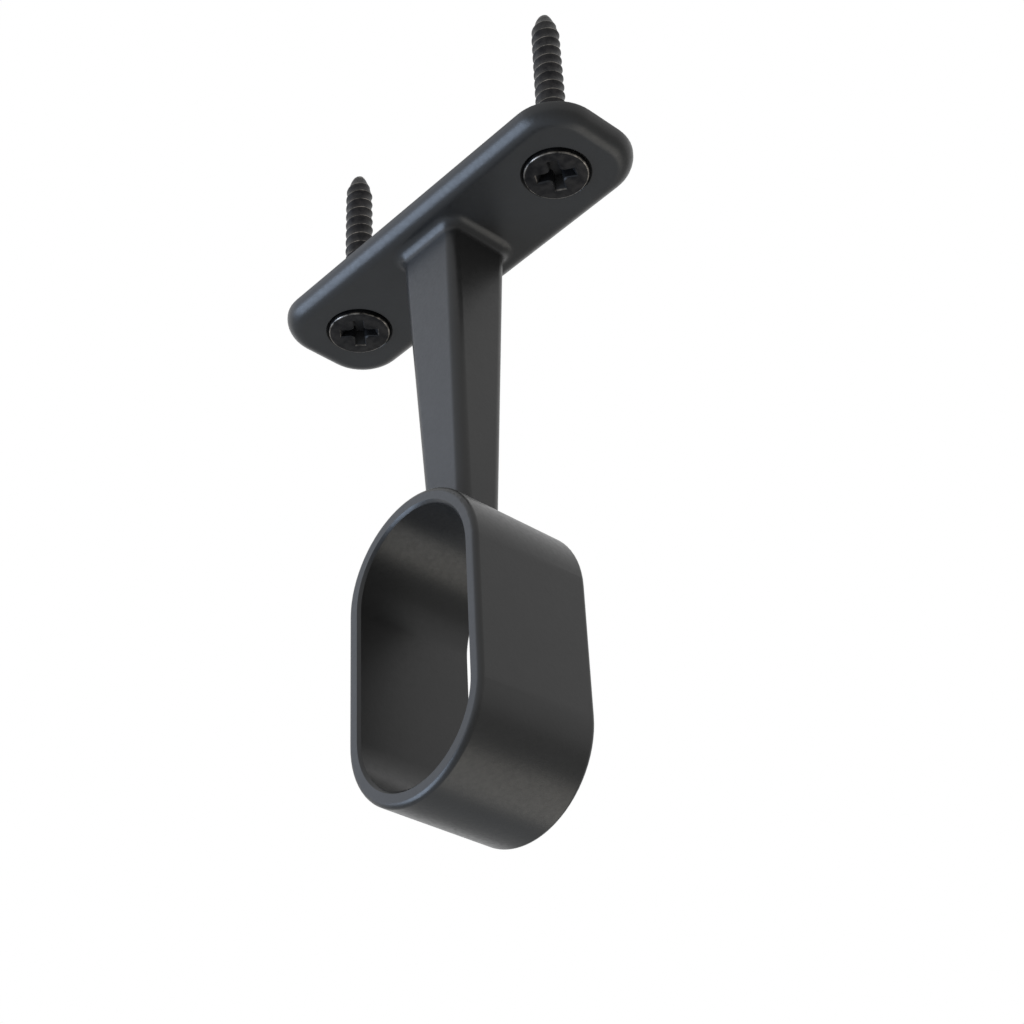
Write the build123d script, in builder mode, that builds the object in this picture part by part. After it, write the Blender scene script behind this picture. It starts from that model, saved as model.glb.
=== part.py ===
from build123d import *
import os

os.makedirs("parts", exist_ok=True)

# Wardrobe rail centre support, in millimetres.
# X runs along the rail, Y along the ceiling plate and Z is up.
# The origin is the centre of the plate's upper face, which lies against the ceiling or shelf.

# Oval rail that the collar carries
rail_width = 15.0
rail_height = 30.0
rail_centre_drop = 57.5

# Collar
rail_gap = 0.6
collar_wall = 1.7
collar_length = 15.0
collar_edge_round = 0.6
opening_edge_bevel = 0.3

# Ceiling plate
plate_length = 50.0
plate_width = 15.5
plate_thickness = 2.5
plate_corner_radius = 5.5
plate_lower_round = 2.0
plate_upper_bevel = 0.3
hole_end_distance = 7.75
hole_diameter = 4.0
countersink_diameter = 8.0

# Stem, tapered from the plate to the collar
stem_top_width = 8.6
stem_top_depth = 9.0
stem_foot_width = 5.4
stem_foot_depth = 6.2
stem_edge_round = 1.3
stem_top_blend = 1.5
stem_foot_blend = 0.6

# Countersunk wood screws: a slim neck in the plate, a straight threaded shank and a blunt point
screw_head_diameter = 7.3
screw_head_proud = 0.4
screw_rim_bevel = 0.15
screw_seat_gap = 0.02
screw_neck_diameter = 3.0
screw_neck_rise = 0.3
screw_thread_diameter = 3.5
screw_point_length = 3.0
screw_tip_diameter = 0.3
screw_reach = 23.2

# Cross recess in the screw heads, with the angle that each screw was left at
recess_span = 4.4
recess_width = 1.15
recess_floor_span = 3.0
recess_floor_width = 0.9
recess_depth = 1.7
front_recess_angle = 34.0
back_recess_angle = 47.0

# Countersinks and screw heads share a right-angled cone, so depth along it equals the change in radius
cone_angle = 90.0

# Slack round the stem's outline when its edges are picked, which its taper and the collar's curve need
pick_slack = 0.2

# Sizes that follow from the ones above
hole_spacing = plate_length - 2 * hole_end_distance
opening_width = rail_width + 2 * rail_gap
opening_height = rail_height + 2 * rail_gap
collar_width = opening_width + 2 * collar_wall
collar_height = opening_height + 2 * collar_wall
collar_top = collar_height / 2 - rail_centre_drop
stem_foot = collar_top - collar_wall / 2
stem_length = -plate_thickness - stem_foot
stem_side_draft = (stem_top_width - stem_foot_width) / 2
stem_end_draft = (stem_top_depth - stem_foot_depth) / 2


def edges_within(part, width, depth, low, high):
    """The part's edges inside a box of this width and depth round the Z axis, between two heights."""

    def is_inside(edge):
        box = edge.bounding_box()
        fits_width = max(-box.min.X, box.max.X) < width / 2 + pick_slack
        fits_depth = max(-box.min.Y, box.max.Y) < depth / 2 + pick_slack
        return fits_width and fits_depth and low - pick_slack < box.min.Z and box.max.Z < high + pick_slack

    return part.edges().filter_by(is_inside)


# Bracket: plate, stem and collar cast in one piece
with BuildPart() as bracket:
    # Plate with its lower edge rounded over most of its thickness and its upper edge just broken
    with BuildSketch(Plane.XY.offset(-plate_thickness)):
        RectangleRounded(plate_width, plate_length, plate_corner_radius)
    extrude(amount=plate_thickness)
    fillet(bracket.edges().group_by(Axis.Z)[0], plate_lower_round)
    chamfer(bracket.edges().group_by(Axis.Z)[-1], plate_upper_bevel)

    # Countersunk holes, open downwards
    with Locations(Location((0, 0, -plate_thickness), (180, 0, 0))):
        with GridLocations(0, hole_spacing, 1, 2):
            CounterSinkHole(hole_diameter / 2, countersink_diameter / 2, counter_sink_angle=cone_angle)

    # Collar, a flat-sided oval tube round the rail
    with BuildSketch(Plane.YZ):
        with Locations((0, -rail_centre_drop)):
            SlotOverall(collar_height, collar_width, rotation=90)
    extrude(amount=collar_length / 2, both=True)
    fillet(bracket.faces(Select.LAST).filter_by(Axis.X).edges(), collar_edge_round)
    with BuildSketch(Plane.YZ):
        with Locations((0, -rail_centre_drop)):
            SlotOverall(opening_height, opening_width, rotation=90)
    extrude(amount=collar_length / 2, both=True, mode=Mode.SUBTRACT)
    opening_edges = bracket.edges(Select.LAST).group_by(Axis.X)
    chamfer(opening_edges[0] + opening_edges[-1], opening_edge_bevel)

    # Stem, a four-sided taper that ends inside the collar's wall
    with Locations(Location((0, 0, -plate_thickness), (-90, 0, 0))):
        Wedge(
            stem_top_width,
            stem_length,
            stem_top_depth,
            stem_side_draft,
            stem_end_draft,
            stem_top_width - stem_side_draft,
            stem_top_depth - stem_end_draft,
            align=(Align.CENTER, Align.MIN, Align.CENTER),
        )
    fillet(bracket.edges(Select.LAST).sort_by(SortBy.LENGTH)[-4:], stem_edge_round)

    # Blends where the stem meets the plate and the collar
    top_outline = edges_within(bracket, stem_top_width, stem_top_depth, -plate_thickness, -plate_thickness)
    fillet(top_outline, stem_top_blend)
    foot_outline = edges_within(bracket, stem_foot_width, stem_foot_depth, stem_foot, collar_top)
    fillet(foot_outline, stem_foot_blend)

bracket.part.label = "support_bracket"
export_step(bracket.part, "parts/support_bracket.step")

# Heights up one screw, from the face of its head to its tip
head_radius = screw_head_diameter / 2
neck_radius = screw_neck_diameter / 2
thread_radius = screw_thread_diameter / 2
head_face = -plate_thickness - screw_head_proud
rim_top = countersink_diameter / 2 - head_radius - plate_thickness - screw_seat_gap
cone_top = rim_top + head_radius - neck_radius

# Two identical screws, one through each end of the plate
for screw_name, hole_place, recess_angle in (
    ("front_screw", -hole_spacing / 2, front_recess_angle),
    ("back_screw", hole_spacing / 2, back_recess_angle),
):
    with BuildPart() as screw:
        # Half section from the head's face up to the tip, turned round the hole's axis
        with BuildSketch(Plane.XZ.offset(-hole_place)) as half_section:
            with BuildLine():
                Polyline(
                    (0, head_face),
                    (head_radius, head_face),
                    (head_radius, rim_top),
                    (neck_radius, cone_top),
                    (neck_radius, screw_neck_rise),
                    (thread_radius, screw_neck_rise),
                    (thread_radius, screw_reach - screw_point_length),
                    (screw_tip_diameter / 2, screw_reach),
                    (0, screw_reach),
                    close=True,
                )
            make_face()
            chamfer(half_section.vertices().group_by(Axis.Z)[0].sort_by(Axis.X)[-1], screw_rim_bevel)
        revolve(axis=Axis((0, hole_place, 0), (0, 0, 1)))

        # Cross recess, narrowing towards its floor
        for height, span, width in (
            (head_face, recess_span, recess_width),
            (head_face + recess_depth, recess_floor_span, recess_floor_width),
        ):
            with BuildSketch(Plane((0, hole_place, height))):
                Rectangle(span, width, rotation=recess_angle)
                Rectangle(width, span, rotation=recess_angle)
        loft(mode=Mode.SUBTRACT)

    screw.part.label = screw_name
    export_step(screw.part, f"parts/{screw_name}.step")
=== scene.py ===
import math

import bmesh
import bpy
from mathutils import Matrix, Vector


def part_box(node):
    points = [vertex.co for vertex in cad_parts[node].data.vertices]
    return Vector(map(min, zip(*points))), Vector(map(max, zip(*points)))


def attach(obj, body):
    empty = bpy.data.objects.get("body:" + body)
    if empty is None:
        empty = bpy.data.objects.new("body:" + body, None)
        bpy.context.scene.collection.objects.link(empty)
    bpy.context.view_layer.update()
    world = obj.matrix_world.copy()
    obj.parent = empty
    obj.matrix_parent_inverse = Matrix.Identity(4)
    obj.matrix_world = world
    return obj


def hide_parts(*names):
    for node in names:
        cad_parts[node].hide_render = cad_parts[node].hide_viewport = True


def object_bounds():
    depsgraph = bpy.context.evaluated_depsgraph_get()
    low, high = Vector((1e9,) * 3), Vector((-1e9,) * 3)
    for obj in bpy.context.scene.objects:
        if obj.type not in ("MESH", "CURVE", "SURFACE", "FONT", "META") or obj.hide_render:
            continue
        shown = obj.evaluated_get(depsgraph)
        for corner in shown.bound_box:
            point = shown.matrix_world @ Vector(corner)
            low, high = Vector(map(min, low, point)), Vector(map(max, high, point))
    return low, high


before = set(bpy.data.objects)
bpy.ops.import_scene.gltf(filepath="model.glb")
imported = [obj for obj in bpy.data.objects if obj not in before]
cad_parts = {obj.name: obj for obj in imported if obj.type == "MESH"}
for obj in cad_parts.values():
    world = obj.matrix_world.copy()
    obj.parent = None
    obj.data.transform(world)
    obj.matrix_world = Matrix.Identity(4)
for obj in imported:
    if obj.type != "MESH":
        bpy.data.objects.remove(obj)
cad_low, cad_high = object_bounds()

# Lengths are in metres, the object's own written in millimetres times MM, and angles are in degrees
MM = 0.001

# Points of a mesh that are nearer than this to each other are one point
SAME_POINT = 0.001 * MM

# Camera: the place, angles and lens that the photograph was fitted to
CAMERA_PLACE = (-0.11607, -0.12676, -0.16027)
CAMERA_YAW = 44.19
CAMERA_PITCH = 35.20
CAMERA_ROLL = -3.11
CAMERA_LENS = 70.52
CAMERA_NEAR = 0.01
SENSOR_WIDTH = 36.0

# Floor, far enough below to stay out of a camera that looks up
FLOOR_HEIGHT = -0.6
FLOOR_RADIUS = 8.0
FLOOR_SIDES = 96

# Strength of the white surround as a light, and as the camera, gloss and glass see it
SURROUND_LIGHT = 0.56
SURROUND_SEEN = 1.0

# Shading runs smoothly over edges up to this angle
SMOOTH_ANGLE = 30.0

# Casting: flat faces are joined up to the first angle, edges beyond the second are broken
# under the paint, and shading runs smoothly over the result up to the third
CASTING_FLAT_ANGLE = 0.2
CASTING_SHARP_ANGLE = 28.0
CASTING_SMOOTH_ANGLE = 40.0
CASTING_EDGE_BREAK = 0.12 * MM

# How much the casting's large faces count in its shading, where 50 is neutral and 100 the most
CASTING_FLAT_WEIGHT = 80

# Screw head, as the frame has it
HEAD_RIM_ROUND = 0.15 * MM
HEAD_RIM_HEIGHT = 0.73 * MM
NECK_RADIUS = 1.5 * MM

# Steps in one turn of the head and the thread, and how far apart the points of their rings
# may lie to be joined at the neck
SPIN_STEPS = 64
NECK_SEAM_MERGE = 0.075 * MM

# Thread of a 3.5 mm wood screw, straight up to a height and slightly tapered above it
THREAD_PITCH = 1.45 * MM
THREAD_RADIUS = 1.75 * MM
THREAD_DEPTH = 0.15 * MM
THREAD_ROOT_WIDTH = 0.7 * MM
THREAD_LOWER_FLANK = 0.3 * MM
THREAD_CREST_WIDTH = 0.08 * MM
THREAD_RUN_IN = 0.7 * MM
THREAD_STRAIGHT_TOP = 6.0 * MM
THREAD_TAPER_SHARE = 0.94

# Blunt point: an exponent rounds it, a share of its length is left plain below the tip, and
# the tip keeps a share of the width
POINT_LENGTH = 3.0 * MM
POINT_BLUNTNESS = 0.48
POINT_PLAIN_SHARE = 0.3
TIP_SHARE = 0.05

# Cross recess in the heads, and the angle that each screw was left at
RECESS_SPAN = 4.4 * MM
RECESS_WIDTH = 1.15 * MM
RECESS_FLOOR_SPAN = 3.0 * MM
RECESS_FLOOR_WIDTH = 0.9 * MM
RECESS_DEPTH = 1.7 * MM
RECESS_OVERCUT = 0.5 * MM
RECESS_CORNER_ROUND = 0.42 * MM
RECESS_RIM_FLARE = 0.13 * MM
RECESS_TURN = {"front_screw": 34.0, "back_screw": 47.0}

# Places of the rubbed finish, which also paints highlights, and of the recess's painted shade in a
# screw's list of materials, after the plain one
RUBBED_WITH_HIGHLIGHT, PAINTED_RECESS_SHADE = 1, 2

# Grain of the finishes: clouds of tone, specks of sheen and orange peel in the paint, and
# patches and grit in the phosphate
PAINT_CLOUD = 4.0 * MM
PAINT_SPECKLE = 0.5 * MM
PAINT_PEEL = 0.45 * MM
PAINT_PEEL_HEIGHT = 0.02 * MM
PHOSPHATE_PATCH = 0.9 * MM
PHOSPHATE_GRIT = 0.18 * MM
PHOSPHATE_GRIT_HEIGHT = 0.015 * MM

# Range that a noise texture seldom leaves, and a narrower one that gives patches an edge
NOISE_LOW, NOISE_HIGH = 0.3, 0.7
PATCH_LOW, PATCH_HIGH = 0.35, 0.65


def linear(code):
    """A hex colour such as #26282b as linear red, green, blue and alpha."""
    values = [int(code[i : i + 2], 16) / 255 for i in (1, 3, 5)]
    return [v / 12.92 if v <= 0.04045 else ((v + 0.055) / 1.055) ** 2.4 for v in values] + [1.0]


def add(tree, kind, settings=None, inputs=None):
    """Adds a node, sets its properties, and sets or links its inputs."""
    node = tree.nodes.new("ShaderNode" + kind)
    for name, value in (settings or {}).items():
        setattr(node, name, value)
    for name, value in (inputs or {}).items():
        if isinstance(value, bpy.types.NodeSocket):
            tree.links.new(value, node.inputs[name])
        else:
            node.inputs[name].default_value = value
    return node


def new_material(name):
    """An empty material and its node tree."""
    material = bpy.data.materials.new(name)
    material.use_nodes = True
    material.node_tree.nodes.clear()
    return material, material.node_tree


def grain_scale(grain):
    """Noise scale on object coordinates at which one grain is this long."""
    return 1 / grain


def satin_black_paint():
    """Satin black paint baked on a zinc casting: an even soft sheen over a fine orange peel.

    It is a shade darker or lighter in broad, faint clouds.
    """
    material, tree = new_material("satin_black_paint_on_cast_zinc")
    place = add(tree, "TexCoord").outputs["Object"]
    cloud = add(
        tree,
        "TexNoise",
        inputs={"Vector": place, "Scale": grain_scale(PAINT_CLOUD), "Detail": 3.0},
    )
    speckle = add(
        tree,
        "TexNoise",
        inputs={"Vector": place, "Scale": grain_scale(PAINT_SPECKLE), "Detail": 2.0},
    )
    peel = add(
        tree,
        "TexNoise",
        inputs={"Vector": place, "Scale": grain_scale(PAINT_PEEL), "Detail": 1.5},
    )
    tone = add(
        tree,
        "Mix",
        {"data_type": "RGBA"},
        {"Factor": cloud.outputs["Fac"], "A": linear("#1e1e1e"), "B": linear("#252525")},
    )
    roughness = add(
        tree,
        "MapRange",
        inputs={
            "Value": speckle.outputs["Fac"],
            "From Min": NOISE_LOW,
            "From Max": NOISE_HIGH,
            "To Min": 0.3,
            "To Max": 0.38,
        },
    )
    bump = add(
        tree,
        "Bump",
        inputs={
            "Height": peel.outputs["Fac"],
            "Strength": 0.35,
            "Distance": PAINT_PEEL_HEIGHT,
        },
    )
    shader = add(
        tree,
        "BsdfPrincipled",
        inputs={
            "Base Color": tone.outputs["Result"],
            "Roughness": roughness.outputs["Result"],
            "Normal": bump.outputs["Normal"],
            "IOR": 1.4,
        },
    )
    add(tree, "OutputMaterial", inputs={"Surface": shader.outputs["BSDF"]})
    return material


def black_phosphate(name, dark, light, smoothest, roughest, metallic):
    """Black phosphate on steel with a light film of oil: a matt near-black, patchy where it is thin.

    Its crystals are only hundredths of a millimetre wide, so the grit is drawn coarser, to show.
    """
    material, tree = new_material(name)
    place = add(tree, "TexCoord").outputs["Object"]
    cloud = add(
        tree,
        "TexNoise",
        inputs={"Vector": place, "Scale": grain_scale(PHOSPHATE_PATCH), "Detail": 4.0},
    )
    grit = add(
        tree,
        "TexNoise",
        inputs={"Vector": place, "Scale": grain_scale(PHOSPHATE_GRIT), "Detail": 2.0},
    )
    patches = add(
        tree,
        "MapRange",
        inputs={"Value": cloud.outputs["Fac"], "From Min": PATCH_LOW, "From Max": PATCH_HIGH},
    )
    tone = add(
        tree,
        "Mix",
        {"data_type": "RGBA"},
        {"Factor": patches.outputs["Result"], "A": linear(dark), "B": linear(light)},
    )
    roughness = add(
        tree,
        "MapRange",
        inputs={
            "Value": grit.outputs["Fac"],
            "From Min": NOISE_LOW,
            "From Max": NOISE_HIGH,
            "To Min": smoothest,
            "To Max": roughest,
        },
    )
    bump = add(
        tree,
        "Bump",
        inputs={
            "Height": grit.outputs["Fac"],
            "Strength": 0.4,
            "Distance": PHOSPHATE_GRIT_HEIGHT,
        },
    )
    shader = add(
        tree,
        "BsdfPrincipled",
        inputs={
            "Base Color": tone.outputs["Result"],
            "Roughness": roughness.outputs["Result"],
            "Normal": bump.outputs["Normal"],
            "Metallic": metallic,
        },
    )
    add(tree, "OutputMaterial", inputs={"Surface": shader.outputs["BSDF"]})
    return material


def matt_white_floor():
    """Matt off-white floor paint: even, with no sheen that would draw the eye."""
    material, tree = new_material("matt_white_floor")
    shader = add(
        tree,
        "BsdfPrincipled",
        inputs={"Base Color": linear("#efefed"), "Roughness": 0.9},
    )
    add(tree, "OutputMaterial", inputs={"Surface": shader.outputs["BSDF"]})
    return material


def piece_from(bm, name, materials, smooth_angle=SMOOTH_ANGLE):
    """Turns a bmesh into an object at the origin, shaded smoothly up to an angle."""
    bmesh.ops.recalc_face_normals(bm, faces=bm.faces)
    for face in bm.faces:
        face.smooth = True
    mesh = bpy.data.meshes.new(name)
    bm.to_mesh(mesh)
    bm.free()
    mesh.set_sharp_from_angle(angle=math.radians(smooth_angle))
    for material in materials:
        mesh.materials.append(material)
    piece = bpy.data.objects.new(name, mesh)
    bpy.context.scene.collection.objects.link(piece)
    return piece


def round_edges(bm, edges, size, segments):
    """Rounds edges over this distance to both sides, and returns the new faces."""
    rounded = bmesh.ops.bevel(
        bm,
        geom=edges,
        offset=size,
        offset_type="OFFSET",
        affect="EDGES",
        segments=segments,
        profile=0.5,
        material=-1,
        clamp_overlap=True,
    )
    return rounded["faces"]


def is_level(part, height):
    """Whether the whole edge or face lies at this height."""
    return all(abs(v.co.z - height) < SAME_POINT for v in part.verts)


def build_bracket(material):
    """The casting: the frame's own mesh, merged, with its hard edges broken as paint leaves them."""
    bm = bmesh.new()
    bm.from_mesh(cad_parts["support_bracket"].data)
    bmesh.ops.remove_doubles(bm, verts=bm.verts, dist=SAME_POINT)
    flat = math.radians(CASTING_FLAT_ANGLE)
    bmesh.ops.dissolve_limit(bm, angle_limit=flat, verts=bm.verts, edges=bm.edges)
    sharp = math.radians(CASTING_SHARP_ANGLE)
    hard = [e for e in bm.edges if len(e.link_faces) == 2 and e.calc_face_angle() > sharp]
    round_edges(bm, hard, CASTING_EDGE_BREAK, segments=2)
    bmesh.ops.remove_doubles(bm, verts=bm.verts, dist=SAME_POINT)
    piece = piece_from(bm, "cast_bracket", [material], CASTING_SMOOTH_ANGLE)
    weighted = piece.modifiers.new("weighted_normals", "WEIGHTED_NORMAL")
    weighted.keep_sharp = True
    weighted.weight = CASTING_FLAT_WEIGHT
    return piece


def draw_outline(bm, place, points):
    """An open outline beside a screw's axis, from pairs of radius and height."""
    verts = [bm.verts.new((radius, place, height)) for radius, height in points]
    edges = [bm.edges.new(pair) for pair in zip(verts, verts[1:])]
    return verts + edges


def thread_share(height, tip):
    """How wide the thread is at a height, as a share of its full radius."""
    if height < THREAD_STRAIGHT_TOP:
        return 1.0
    point_foot = tip - POINT_LENGTH
    along = min((height - THREAD_STRAIGHT_TOP) / (point_foot - THREAD_STRAIGHT_TOP), 1.0)
    share = 1 - (1 - THREAD_TAPER_SHARE) * along
    if height > point_foot:
        left = max((tip - height) / POINT_LENGTH, 0.0)
        share *= TIP_SHARE + (1 - TIP_SHARE) * left**POINT_BLUNTNESS
    return share


def add_thread(bm, place, low, tip):
    """A right-handed thread from the neck to the blunt point: one tooth turned up a helix."""
    root = THREAD_RADIUS - THREAD_DEPTH
    crest = THREAD_ROOT_WIDTH + THREAD_LOWER_FLANK
    tooth = (
        (root, 0),
        (root, THREAD_ROOT_WIDTH),
        (THREAD_RADIUS, crest),
        (THREAD_RADIUS, crest + THREAD_CREST_WIDTH),
        (root, THREAD_PITCH),
    )
    start = low - THREAD_PITCH
    turns = math.ceil((tip - low) / THREAD_PITCH) + 1
    bmesh.ops.spin(
        bm,
        geom=draw_outline(bm, place, [(radius, start + height) for radius, height in tooth]),
        cent=(0, place, 0),
        axis=(0, 0, 1),
        dvec=(0, 0, THREAD_PITCH / SPIN_STEPS),
        angle=math.tau * turns,
        steps=SPIN_STEPS * turns,
        use_merge=False,
    )
    bmesh.ops.remove_doubles(bm, verts=bm.verts, dist=SAME_POINT)

    # The crest is rubbed to the steel, and its lighter colour also paints the crest's highlight
    axis = Vector((0, place))
    for face in bm.faces:
        if all((v.co.xy - axis).length > THREAD_RADIUS - SAME_POINT for v in face.verts):
            face.material_index = RUBBED_WITH_HIGHLIGHT

    # The thread is cut off level at the neck and at the tip
    for height, clears_below in ((low, True), (tip, False)):
        bmesh.ops.bisect_plane(
            bm,
            geom=bm.verts[:] + bm.edges[:] + bm.faces[:],
            plane_co=(0, 0, height),
            plane_no=(0, 0, 1),
            clear_inner=clears_below,
            clear_outer=not clears_below,
        )

    # It grows out of the neck, flattens out on the point and narrows to the tip
    for v in bm.verts:
        run_in = min((v.co.z - low) / THREAD_RUN_IN, 1.0)
        below_tip = (tip - v.co.z) / POINT_LENGTH
        run_out = min(max((below_tip - POINT_PLAIN_SHARE) / (1 - POINT_PLAIN_SHARE), 0.0), 1.0)
        away = Vector((v.co.x, v.co.y - place, 0))
        radius = root + (away.length - root) * run_out
        radius = NECK_RADIUS + (radius - NECK_RADIUS) * run_in
        away = away.normalized() * radius * thread_share(v.co.z, tip)
        v.co.x = away.x
        v.co.y = place + away.y
    tip_ring = [e for e in bm.edges if e.is_boundary and is_level(e, tip)]
    bmesh.ops.holes_fill(bm, edges=tip_ring)


def add_head(bm, place, face, rim_radius, neck_top):
    """Countersunk head from its flat face to the neck, turned round the screw's axis."""
    outline = (
        (0, face),
        (rim_radius, face),
        (rim_radius, face + HEAD_RIM_HEIGHT),
        (NECK_RADIUS, neck_top),
    )
    bmesh.ops.spin(
        bm,
        geom=draw_outline(bm, place, outline),
        cent=(0, place, 0),
        axis=(0, 0, 1),
        angle=math.tau,
        steps=SPIN_STEPS,
        use_merge=True,
    )
    made = [v for v in bm.verts if v.co.z < neck_top + SAME_POINT]
    bmesh.ops.remove_doubles(bm, verts=made, dist=SAME_POINT)
    disc = [f for f in bm.faces if is_level(f, face)]
    bmesh.ops.dissolve_faces(bm, faces=disc)
    rim = [e for e in bm.edges if is_level(e, face)]
    # The rounded rim is rubbed to the steel, and its lighter colour also paints the rim's glint
    for rubbed_with_highlight in round_edges(bm, rim, HEAD_RIM_ROUND, segments=3):
        rubbed_with_highlight.material_index = RUBBED_WITH_HIGHLIGHT


def build_recess_cutter(place, face, turn, finishes):
    """Cross with sloping walls and a small flare at the head's face, cut into a head."""
    bm = bmesh.new()
    flare_span = RECESS_SPAN + 2 * RECESS_RIM_FLARE
    flare_width = RECESS_WIDTH + 2 * RECESS_RIM_FLARE
    rings = []
    for height, span, width in (
        (face - RECESS_OVERCUT, flare_span, flare_width),
        (face, flare_span, flare_width),
        (face + RECESS_RIM_FLARE, RECESS_SPAN, RECESS_WIDTH),
        (face + RECESS_DEPTH, RECESS_FLOOR_SPAN, RECESS_FLOOR_WIDTH),
    ):
        verts = []
        for quarter in range(4):
            spun = Matrix.Rotation(math.radians(turn + 90 * quarter), 3, "Z")
            for across, along in ((width, span), (-width, span), (-width, width)):
                corner = spun @ Vector((across / 2, along / 2, 0))
                verts.append(bm.verts.new(corner + Vector((0, place, height))))
        rings.append([bm.edges.new(pair) for pair in zip(verts, verts[1:] + verts[:1])])
    for lower, upper in zip(rings, rings[1:]):
        bmesh.ops.bridge_loops(bm, edges=lower + upper)
    for ring in (rings[0], rings[-1]):
        bmesh.ops.holes_fill(bm, edges=ring)

    # The four inner corners, nearer the axis than one slot's width, are rounded
    axis = Vector((0, place))
    inner = [
        e
        for e in bm.edges
        if abs(e.verts[0].co.z - e.verts[1].co.z) > SAME_POINT
        and all((v.co.xy - axis).length < RECESS_WIDTH for v in e.verts)
    ]
    round_edges(bm, inner, RECESS_CORNER_ROUND, segments=4)
    flare_top = face + RECESS_RIM_FLARE + SAME_POINT
    # The flare at the head's face takes the rubbed finish, which paints a highlight on the recess
    # rim; the deeper walls and floor take the painted recess shade
    for wall in bm.faces:
        wall.material_index = RUBBED_WITH_HIGHLIGHT if all(v.co.z < flare_top for v in wall.verts) else PAINTED_RECESS_SHADE
    return piece_from(bm, "recess_cutter", finishes)


def build_screw(node, name, finishes):
    """A wood screw in the place of its node: head, cross recess and a real thread."""
    low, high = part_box(node)
    place = (low.y + high.y) / 2
    rim_radius = (high.x - low.x) / 2
    neck_top = low.z + HEAD_RIM_HEIGHT + rim_radius - NECK_RADIUS
    bm = bmesh.new()
    add_thread(bm, place, neck_top, high.z)
    add_head(bm, place, low.z, rim_radius, neck_top)
    seam = [v for v in bm.verts if abs(v.co.z - neck_top) < SAME_POINT]
    bmesh.ops.remove_doubles(bm, verts=seam, dist=NECK_SEAM_MERGE)
    screw = piece_from(bm, name, finishes)

    # The recess is cut and kept in the screw's own mesh
    cutter = build_recess_cutter(place, low.z, RECESS_TURN[node], finishes)
    cut = screw.modifiers.new("cross_recess", "BOOLEAN")
    cut.operation = "DIFFERENCE"
    cut.solver = "EXACT"
    cut.object = cutter
    bpy.context.view_layer.update()
    ready = screw.evaluated_get(bpy.context.evaluated_depsgraph_get())
    recessed = bpy.data.meshes.new_from_object(ready)
    recessed.set_sharp_from_angle(angle=math.radians(SMOOTH_ANGLE))
    screw.modifiers.clear()
    screw.data = recessed
    bpy.data.objects.remove(cutter)
    return screw


def build_floor():
    """A wide round floor."""
    bm = bmesh.new()
    bmesh.ops.create_circle(bm, cap_ends=True, segments=FLOOR_SIDES, radius=FLOOR_RADIUS)
    bmesh.ops.translate(bm, verts=bm.verts, vec=(0, 0, FLOOR_HEIGHT))
    floor = piece_from(bm, "studio_floor", [matt_white_floor()])


def add_soft_box(name, direction, distance, width, height, watts, colour):
    """A soft box that faces the middle of the object from this direction."""
    data = bpy.data.lights.new(name, "AREA")
    data.shape = "RECTANGLE"
    data.size = width
    data.size_y = height
    data.energy = watts
    data.color = linear(colour)[:3]
    lamp = bpy.data.objects.new(name, data)
    middle = (cad_low + cad_high) / 2
    way = Vector(direction).normalized()
    lamp.location = middle + way * distance
    lamp.rotation_euler = way.to_track_quat("Z", "Y").to_euler()
    bpy.context.scene.collection.objects.link(lamp)


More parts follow.
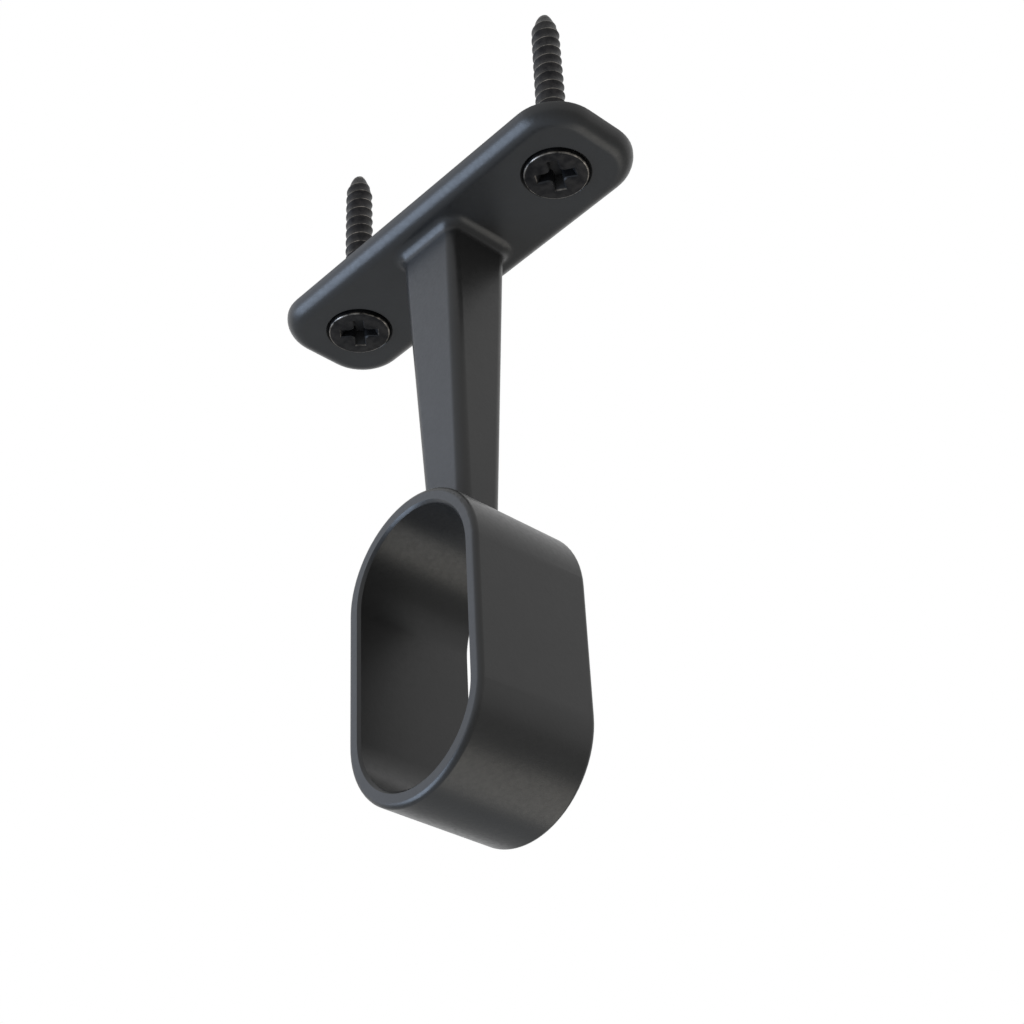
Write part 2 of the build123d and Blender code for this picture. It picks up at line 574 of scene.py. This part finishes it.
def light_studio():
    """A white surround, weaker as a light than the camera and reflections see it, and soft boxes."""
    world = bpy.data.worlds.new("white_studio")
    world.use_nodes = True
    tree = world.node_tree
    tree.nodes.clear()
    path = add(tree, "LightPath")
    in_gloss_or_glass = add(
        tree,
        "Math",
        {"operation": "MAXIMUM"},
        {0: path.outputs["Is Glossy Ray"], 1: path.outputs["Is Transmission Ray"]},
    )
    is_seen = add(
        tree,
        "Math",
        {"operation": "MAXIMUM"},
        {0: path.outputs["Is Camera Ray"], 1: in_gloss_or_glass.outputs[0]},
    )
    strength = add(
        tree,
        "MapRange",
        inputs={"Value": is_seen.outputs[0], "To Min": SURROUND_LIGHT, "To Max": SURROUND_SEEN},
    )
    background = add(
        tree,
        "Background",
        inputs={"Color": (1, 1, 1, 1), "Strength": strength.outputs["Result"]},
    )
    add(tree, "OutputWorld", inputs={"Surface": background.outputs["Background"]})
    bpy.context.scene.world = world

    # Soft boxes, with the direction from the object's middle that each one stands in
    for name, direction, distance, width, height, watts, colour in (
        ("key_from_the_left", (-0.769, 0.518, -0.375), 0.6, 0.35, 0.5, 4.5, "#cfe3ff"),
        ("left_wall", (-0.698, 0.629, 0.342), 0.75, 0.5, 0.6, 0.85, "#d8e6ff"),
        ("low_fill", (0.602, -0.128, -0.788), 0.33, 0.24, 0.16, 0.23, "#fffaf0"),
    ):
        add_soft_box(name, direction, distance, width, height, watts, colour)


def place_camera():
    """A camera where the photograph was taken from."""
    data = bpy.data.cameras.new("photo_view")
    data.lens = CAMERA_LENS
    data.sensor_width = SENSOR_WIDTH
    data.clip_start = CAMERA_NEAR
    camera = bpy.data.objects.new("photo_view", data)
    turn = (
        Matrix.Rotation(math.radians(-CAMERA_YAW), 4, "Z")
        @ Matrix.Rotation(math.radians(90 + CAMERA_PITCH), 4, "X")
        @ Matrix.Rotation(math.radians(CAMERA_ROLL), 4, "Z")
    )
    camera.matrix_world = Matrix.Translation(CAMERA_PLACE) @ turn
    bpy.context.scene.collection.objects.link(camera)
    bpy.context.scene.camera = camera


bpy.context.scene.view_settings.view_transform = "Standard"

paint = satin_black_paint()

# Phosphate: plain; rubbed bright on the thread's crest and the rims, which also paints their
# highlights; and painted near-black in the recess as its shade
plain = black_phosphate(
    "black_phosphate_on_steel", "#161618", "#2b2a2a", smoothest=0.42, roughest=0.56, metallic=0.85
)
rubbed_with_highlight = black_phosphate(
    "phosphate_rubbed_to_steel_with_painted_highlight", "#2b2a29", "#87827c", smoothest=0.3, roughest=0.45, metallic=1.0
)
painted_recess_shade = black_phosphate(
    "phosphate_painted_dark_as_recess_shade", "#08080a", "#0e0e10", smoothest=0.5, roughest=0.6, metallic=0.3
)

bracket = build_bracket(paint)
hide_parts("support_bracket")
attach(bracket, "root")

for node, name in (("front_screw", "front_wood_screw"), ("back_screw", "back_wood_screw")):
    screw = build_screw(node, name, (plain, rubbed_with_highlight, painted_recess_shade))
    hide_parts(node)
    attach(screw, "root")

build_floor()
light_studio()
place_camera()
